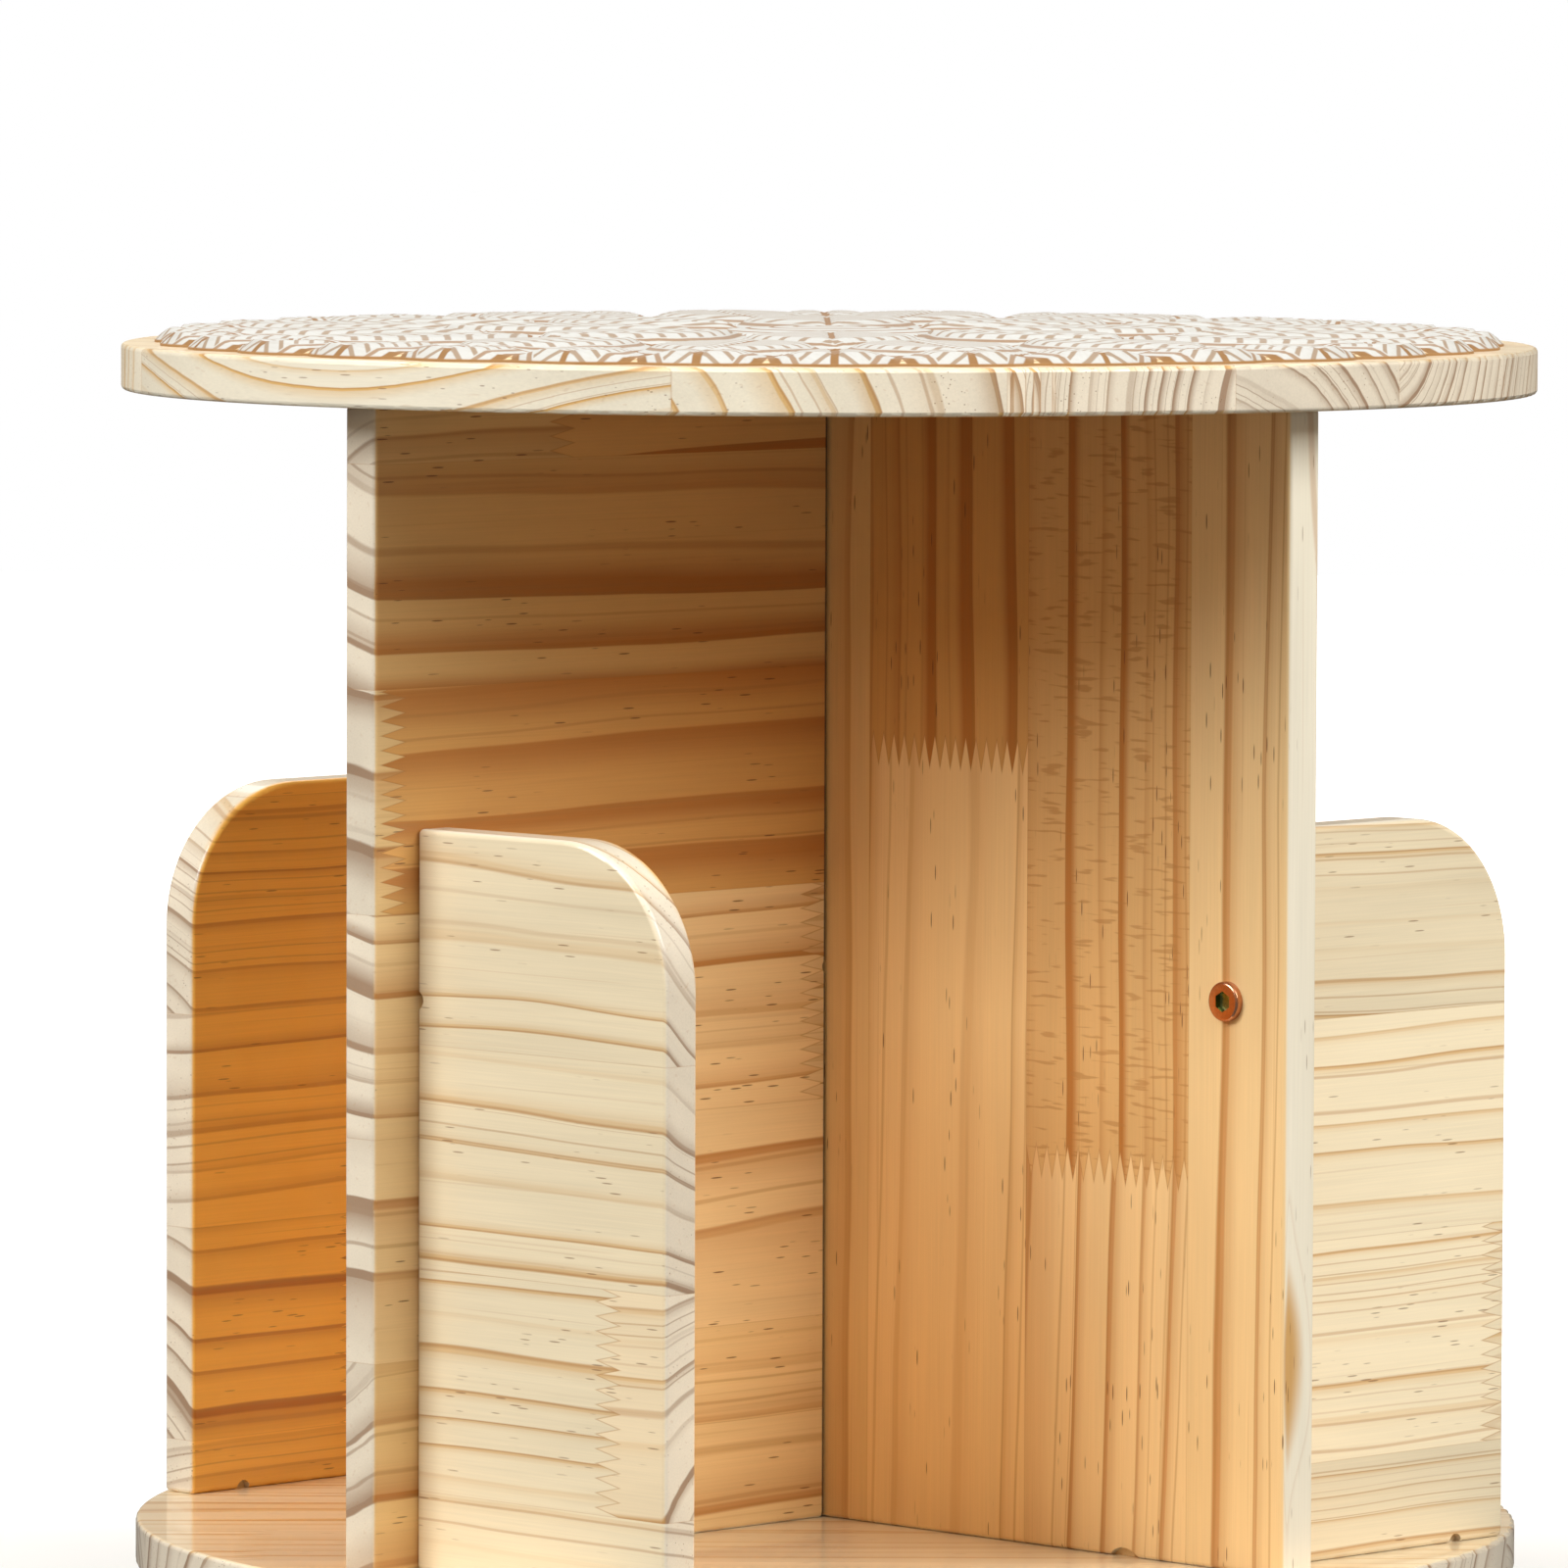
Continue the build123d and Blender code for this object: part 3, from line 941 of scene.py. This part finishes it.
def piece_from(mesh: bmesh.types.BMesh, name: str) -> bpy.types.Object:
    """Turn a finished bmesh into an object with smooth faces and sharp corners.

    Args:
        mesh: the bmesh in millimetres, freed afterwards.
        name: the object's name.

    Returns:
        The object, linked to the scene.
    """
    bmesh.ops.scale(mesh, vec=(MM, MM, MM), verts=mesh.verts[:])
    bmesh.ops.recalc_face_normals(mesh, faces=mesh.faces[:])
    data = bpy.data.meshes.new(name)
    for face in mesh.faces:
        face.smooth = True
    mesh.to_mesh(data)
    mesh.free()
    data.set_sharp_from_angle(angle=SHARP_ANGLE)
    piece = bpy.data.objects.new(name, data)
    bpy.context.scene.collection.objects.link(piece)
    log.info("built %s with %d faces", name, len(data.polygons))
    return piece


class Wear(Enum):
    """How a hard part's surface was left by its making."""

    TURNED = "turned"
    TUMBLED = "tumbled"
    MOULDED = "moulded"


@dataclass(frozen=True)
class HardFinish:
    """Metal, plastic or rubber with its own fine marks."""

    name: str
    base: Color
    marked: Color
    wear: Wear
    metallic: float = 1.0
    roughness: float = 0.3
    mark_size: float = 0.8

    def material(self) -> bpy.types.Material:
        """Make the material.

        Returns:
            The material, its marks laid out as its wear says.
        """
        shader = MaterialStart(self.name)
        graph = shader.graph
        x, y, z = graph.split(shader.object_place)
        size = self.mark_size * MM
        if self.wear is Wear.TURNED:
            radius = (x * x + y * y).root()
            spot = graph.vector(radius / (0.25 * size), z / (0.25 * size), graph.math("ARCTAN2", y, x) * 0.6)
        else:
            spot = graph.vector(x / size, y / size, z / size)
        marks = graph.noise(spot, 4.0)
        cloud = graph.noise(shader.object_place, 2.0, 90.0)
        share = (marks * 1.6 + cloud * 0.8 + 0.4).most(0.0).least(1.0)
        shader.set(Base_Color=graph.mix(share, self.base, self.marked), Metallic=self.metallic,
                   Roughness=self.roughness + marks * 0.18 + cloud * 0.10)
        shader.bump(marks, 0.25 if self.wear is Wear.TUMBLED else 0.4, 0.05 * MM)
        return shader.material


@dataclass
class FurnitureBolts:
    """Flat-headed bolts that hold each guard to its divider, sizes in millimetres.

    edge_profile lists places on the head's rounded edge: in from its side, and down from its top.
    """

    seat: Point = (160.0, -6.0, 201.5)
    head_radius: float = 5.5
    head_height: float = 2.2
    socket_flats: float = 5.0
    socket_depth: float = 1.7
    shank_radius: float = 2.5
    shank_length: float = 40.0
    sides: int = 64
    face_inset: float = 0.75
    edge_profile: tuple[tuple[float, float], ...] = ((0.3, 0.12), (0.07, 0.42), (0.0, 0.9))
    socket_draft: float = 0.94
    socket_point: float = 0.7
    head: HardFinish = HardFinish(
        "copper_zinc", (0.66, 0.31, 0.17, 1.0), (0.50, 0.22, 0.12, 1.0), Wear.TUMBLED,
        roughness=0.22, mark_size=0.9)
    # The socket's faces get a darker olive metal: an olive tint plus painted shade in the recess.
    socket: HardFinish = HardFinish(
        "olive_zinc_socket_shade", (0.30, 0.33, 0.13, 1.0), (0.12, 0.14, 0.06, 1.0), Wear.TUMBLED,
        roughness=0.22, mark_size=0.5)
    mesh: bmesh.types.BMesh = field(default_factory=bmesh.new)

    def build(self) -> None:
        """Model one bolt, set it in its seat and repeat it at each quarter turn."""
        mesh = self.mesh
        self.form()
        place = Matrix.Translation(self.seat) @ Matrix.Rotation(math.radians(90.0), 4, "X")
        bmesh.ops.transform(mesh, matrix=place, verts=mesh.verts[:])
        first = mesh.verts[:] + mesh.edges[:] + mesh.faces[:]
        for quarter in (1, 2, 3):
            copy = bmesh.ops.duplicate(mesh, geom=first)["geom"]
            turn = Matrix.Rotation(math.radians(90.0 * quarter), 3, "Z")
            bmesh.ops.rotate(mesh, cent=(0, 0, 0), matrix=turn, verts=vertices(copy))
        piece = piece_from(mesh, "furniture_bolts")
        piece.data.materials.append(self.head.material())
        piece.data.materials.append(self.socket.material())
        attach(piece, "carousel")
        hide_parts("guard_bolts")

    def form(self) -> None:
        """Shape one bolt, head up, with the head's seat at level 0."""
        six = self.ring(6, self.socket_flats / 2 / math.cos(math.pi / 6))
        face_radius = self.head_radius - self.face_inset
        round_edge = self.ring(self.sides, face_radius)
        bmesh.ops.bridge_loops(self.mesh, edges=six + round_edge)
        known = set(self.mesh.faces)
        loop = self.step(six, self.socket_draft, -self.socket_depth)
        close_to_point(self.mesh, loop, self.head_height - self.socket_depth - self.socket_point)
        for face in self.mesh.faces:
            face.material_index = 0 if face in known else 1
        profile = [(self.head_radius - inset, self.head_height - drop) for inset, drop in self.edge_profile]
        shank = self.shank_radius
        profile += [(self.head_radius, 0.0), (shank, 0.0), (shank, -self.shank_length)]
        loop = round_edge
        radius = face_radius
        level = self.head_height
        for next_radius, next_level in profile:
            loop = self.step(loop, next_radius / radius, next_level - level)
            radius = next_radius
            level = next_level
        close_to_point(self.mesh, loop, level)

    def ring(self, sides: int, radius: float) -> Edges:
        """Add a ring of edges at the head's top.

        Args:
            sides: the ring's number of sides.
            radius: its radius.

        Returns:
            Its edges.
        """
        place = Matrix.Translation((0.0, 0.0, self.head_height))
        verts = bmesh.ops.create_circle(self.mesh, segments=sides, radius=radius, matrix=place)["verts"]
        return list(dict.fromkeys(edge for vert in verts for edge in vert.link_edges))

    def step(self, loop: Edges, grow: float, drop: float) -> Edges:
        """Extrude a ring of edges to its next radius and level.

        Args:
            loop: the ring's edges.
            grow: how much the ring widens.
            drop: how far it moves along the bolt.

        Returns:
            The new ring's edges.
        """
        made = bmesh.ops.extrude_edge_only(self.mesh, edges=loop)["geom"]
        verts = vertices(made)
        bmesh.ops.scale(self.mesh, vec=(grow, grow, 1.0), verts=verts)
        bmesh.ops.translate(self.mesh, vec=(0.0, 0.0, drop), verts=verts)
        return open_edges(made)


@dataclass
class Hardware:
    """Screws, stud and dowels that hold the boards."""

    white_zinc: HardFinish = HardFinish(
        "white_zinc", (0.66, 0.67, 0.68, 1.0), (0.45, 0.46, 0.48, 1.0), Wear.TUMBLED)
    beech: HardFinish = HardFinish(
        "beech_dowel", (0.74, 0.55, 0.36, 1.0), (0.60, 0.42, 0.25, 1.0), Wear.MOULDED,
        metallic=0.0, roughness=0.6, mark_size=0.5)
    zinc_nodes: tuple[str, ...] = ("panel_stud", "panel_screws", "guard_screws", "inner_ring_screws",
                                   "outer_ring_screws", "foot_screws")

    def build(self) -> None:
        """Dress the screws, the stud and the dowels."""
        zinc = self.white_zinc.material()
        for node in self.zinc_nodes:
            dress(node, zinc)
        dress("top_dowels", self.beech.material())


@dataclass
class Turntable:
    """Ball bearing between base and shelf, and the rubber feet."""

    feet: int = 6
    aluminium: HardFinish = HardFinish(
        "turned_aluminium", (0.80, 0.80, 0.79, 1.0), (0.60, 0.60, 0.61, 1.0), Wear.TURNED, roughness=0.32)
    steel: HardFinish = HardFinish(
        "ball_steel", (0.70, 0.70, 0.71, 1.0), (0.60, 0.60, 0.62, 1.0), Wear.TUMBLED,
        roughness=0.14, mark_size=0.4)
    nylon: HardFinish = HardFinish(
        "cage_nylon", (0.78, 0.76, 0.70, 1.0), (0.66, 0.63, 0.56, 1.0), Wear.MOULDED,
        metallic=0.0, roughness=0.45)
    rubber: HardFinish = HardFinish(
        "foot_rubber", (0.035, 0.034, 0.033, 1.0), (0.06, 0.058, 0.055, 1.0), Wear.MOULDED,
        metallic=0.0, roughness=0.7, mark_size=0.5)

    def build(self) -> None:
        """Dress the rings, balls, cage and feet."""
        ring = self.aluminium.material()
        dress("bearing_outer_ring", ring)
        dress("bearing_inner_ring", ring)
        dress("bearing_balls", self.steel.material())
        dress("bearing_cage", self.nylon.material())
        rubber = self.rubber.material()
        for number in range(1, self.feet + 1):
            dress(f"foot_{number}", rubber)


@dataclass(frozen=True)
class Softbox:
    """A square soft light: its direction and height in degrees, and its power in watts.

    azimuth is 0 in front along -Y and 90 along +X.
    """

    name: str
    azimuth: float
    height: float
    power: float


@dataclass
class Studio:
    """Plain pale floor, soft side light, white surroundings and the photograph's camera, in metres."""

    floor_radius: float = 6.0
    floor_white: float = 0.90
    floor_bounce: float = 0.12
    under_glow: float = 0.45
    under_edge: tuple[float, float] = (0.15, 0.168)
    far_edge: tuple[float, float] = (0.2, 1.1)
    sky_low: float = 0.38
    sky_high: float = 0.47
    softboxes: tuple[Softbox, ...] = (
        Softbox("left_softbox", -14.0, 36.0, 71.0),
        Softbox("right_softbox", 104.0, 36.0, 69.0),
        Softbox("front_softbox", 45.0, 52.0, 9.0),
        Softbox("rear_softbox", 225.0, 38.0, 12.0),
    )
    softbox_distance: float = 2.6
    softbox_size: float = 1.4
    softbox_aim: Point = (0.0, 0.0, 0.2)
    fill_color: Color = (1.0, 0.80, 0.58, 1.0)
    key_color: Point = (0.88, 0.95, 1.0)
    camera_place: Point = (2.3440, -2.3829, 0.4866)
    camera_aim: Point = (-0.00875, -0.00875, 0.2526)
    camera_roll: float = 0.198
    focal_pixels: float = 12056.8
    frame_pixels: float = 1600.0
    sensor_width: float = 36.0

    def build(self) -> None:
        """Set up the floor, the light and the camera."""
        self.floor()
        self.sky()
        for softbox in self.softboxes:
            self.hang(softbox)
        self.camera()
        bpy.context.scene.view_settings.view_transform = "Standard"

    def floor(self) -> None:
        """Lay a round pale floor."""
        mesh = bmesh.new()
        bmesh.ops.create_circle(mesh, cap_ends=True, segments=96, radius=self.floor_radius)
        data = bpy.data.meshes.new("studio_floor")
        mesh.to_mesh(data)
        mesh.free()
        floor = bpy.data.objects.new("studio_floor", data)
        bpy.context.scene.collection.objects.link(floor)
        data.materials.append(self.floor_material())

    def floor_material(self) -> bpy.types.Material:
        """Make matt pale paper that throws little light back up, but for the glow under the base.

        Returns:
            The material.
        """
        shader = MaterialStart("studio_paper")
        graph = shader.graph
        path = graph.add("ShaderNodeLightPath")
        speck = graph.noise(shader.object_place, 2.0, 3.0) * 0.02
        seen = graph.vector(*(self.floor_white + speck,) * 3)
        bounce = (self.floor_bounce,) * 3 + (1.0,)
        camera = graph.read(path, "Is Camera Ray")
        x, y, _ = graph.split(shader.object_place)
        radius = (x * x + y * y).root()
        under = graph.read(path, "Is Diffuse Ray") * (1.0 - radius.rise(*self.under_edge))
        glow = camera * radius.rise(*self.far_edge) + under * self.under_glow
        back = graph.read(graph.add("ShaderNodeNewGeometry"), "Backfacing")
        shader.set(Base_Color=graph.mix(camera, bounce, seen), Emission_Color=graph.vector(glow, glow, glow),
                   Emission_Strength=1.0, Alpha=1.0 - back, Roughness=0.9, Specular_IOR_Level=0.1)
        return shader.material

    def sky(self) -> None:
        """Surround the shelf with light that is stronger overhead, and with white for the camera."""
        world = bpy.data.worlds.new("studio_sky")
        bpy.context.scene.world = world
        world.use_nodes = True
        world.node_tree.nodes.clear()
        graph = NodeGraph(world.node_tree)
        places = graph.add("ShaderNodeTexCoord")
        _, _, height = graph.split(places.outputs["Generated"])
        light = self.sky_low + height.rise(0.0, 0.9) * (self.sky_high - self.sky_low)
        camera = graph.read(graph.add("ShaderNodeLightPath"), "Is Camera Ray")
        color = graph.mix(camera, self.fill_color, (1.0, 1.0, 1.0, 1.0))
        background = graph.add("ShaderNodeBackground", color, light + camera * (1.0 - light))
        graph.add("ShaderNodeOutputWorld", background.outputs["Background"])

    def hang(self, softbox: Softbox) -> None:
        """Hang a soft light that faces the shelf.

        Args:
            softbox: the light.
        """
        turn = math.radians(softbox.azimuth)
        lift = math.radians(softbox.height)
        away = Vector((math.sin(turn) * math.cos(lift), -math.cos(turn) * math.cos(lift), math.sin(lift)))
        data = bpy.data.lights.new(softbox.name, "AREA")
        data.shape = "SQUARE"
        data.size = self.softbox_size
        data.energy = softbox.power
        data.color = self.key_color
        light = bpy.data.objects.new(softbox.name, data)
        bpy.context.scene.collection.objects.link(light)
        light.location = Vector(self.softbox_aim) + away * self.softbox_distance
        light.rotation_euler = (-away).to_track_quat("-Z", "Y").to_euler()

    def camera(self) -> None:
        """Place the camera at the photograph's viewing angle."""
        data = bpy.data.cameras.new("photo_camera")
        data.sensor_width = self.sensor_width
        data.lens = self.focal_pixels / self.frame_pixels * self.sensor_width
        data.clip_end = 100.0
        camera = bpy.data.objects.new("photo_camera", data)
        bpy.context.scene.collection.objects.link(camera)
        place = Vector(self.camera_place)
        look = (Vector(self.camera_aim) - place).to_track_quat("-Z", "Y").to_matrix()
        roll = Matrix.Rotation(math.radians(self.camera_roll), 3, "Z")
        camera.matrix_world = Matrix.Translation(place) @ (look @ roll).to_4x4()
        bpy.context.scene.camera = camera


def main() -> None:
    """Build every sub-assembly in order."""
    logging.basicConfig(level=logging.INFO, format="%(message)s")
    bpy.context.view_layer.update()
    Boards(PineStock()).build()
    TopOrnament().build()
    FurnitureBolts().build()
    Hardware().build()
    Turntable().build()
    Studio().build()


if __name__ == "__main__":
    main()
